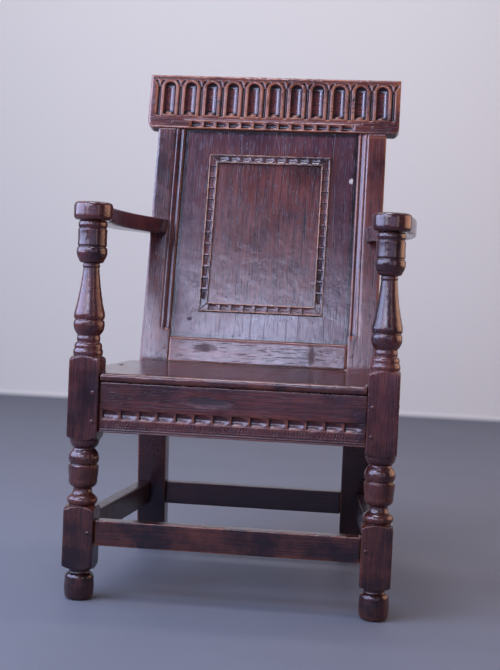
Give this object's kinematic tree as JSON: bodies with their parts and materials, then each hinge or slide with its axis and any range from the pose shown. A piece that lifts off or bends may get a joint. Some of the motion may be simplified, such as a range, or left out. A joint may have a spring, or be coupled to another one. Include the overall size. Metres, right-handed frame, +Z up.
{
  "type": "wainscot chair",
  "caption": "Joined oak armchair: panelled back under a carved crest rail, bowed arms on turned front posts, plank seat on rails and a box of stretchers, all pegged.",
  "frame": {"origin": "middle of the chair's footprint box, on the floor", "axes": "+Z up; -Y is the way the sitter faces, so the panelled back leans towards +Y; +X is to the right of someone who faces the chair"},
  "size_m": [0.6404, 0.6042, 1.0595],
  "materials": {
    "frame_oak": "old dark polish, worn to orange-brown on the high edges",
    "seat_oak": "old dark polish, rubbed glossy by use",
    "panel_oak": "old dark polish over upright grain",
    "peg_oak": "end grain, nearly black"
  },
  "bodies": {
    "root": {"left_front_post": "frame_oak", "right_front_post": "frame_oak", "left_stile": "frame_oak", "right_stile": "frame_oak", "crest_rail": "frame_oak", "lower_back_rail": "frame_oak", "front_seat_rail": "frame_oak", "left_seat_rail": "frame_oak", "right_seat_rail": "frame_oak", "rear_seat_rail": "frame_oak", "front_stretcher": "frame_oak", "left_stretcher": "frame_oak", "right_stretcher": "frame_oak", "back_stretcher": "frame_oak", "left_arm": "frame_oak", "right_arm": "frame_oak", "seat_board": "seat_oak", "back_panel": "panel_oak", "panel_moulding_top": "frame_oak", "panel_moulding_bottom": "frame_oak", "panel_moulding_left": "frame_oak", "panel_moulding_right": "frame_oak", "front_rail_pegs": "peg_oak", "front_stretcher_pegs": "peg_oak", "side_rail_pegs": "peg_oak", "side_stretcher_pegs": "peg_oak", "rear_rail_pegs": "peg_oak", "back_stretcher_pegs": "peg_oak", "lower_back_rail_pegs": "peg_oak", "crest_pegs": "peg_oak", "arm_pegs": "peg_oak", "seat_pegs": "peg_oak"}
  },
  "joints": []
}
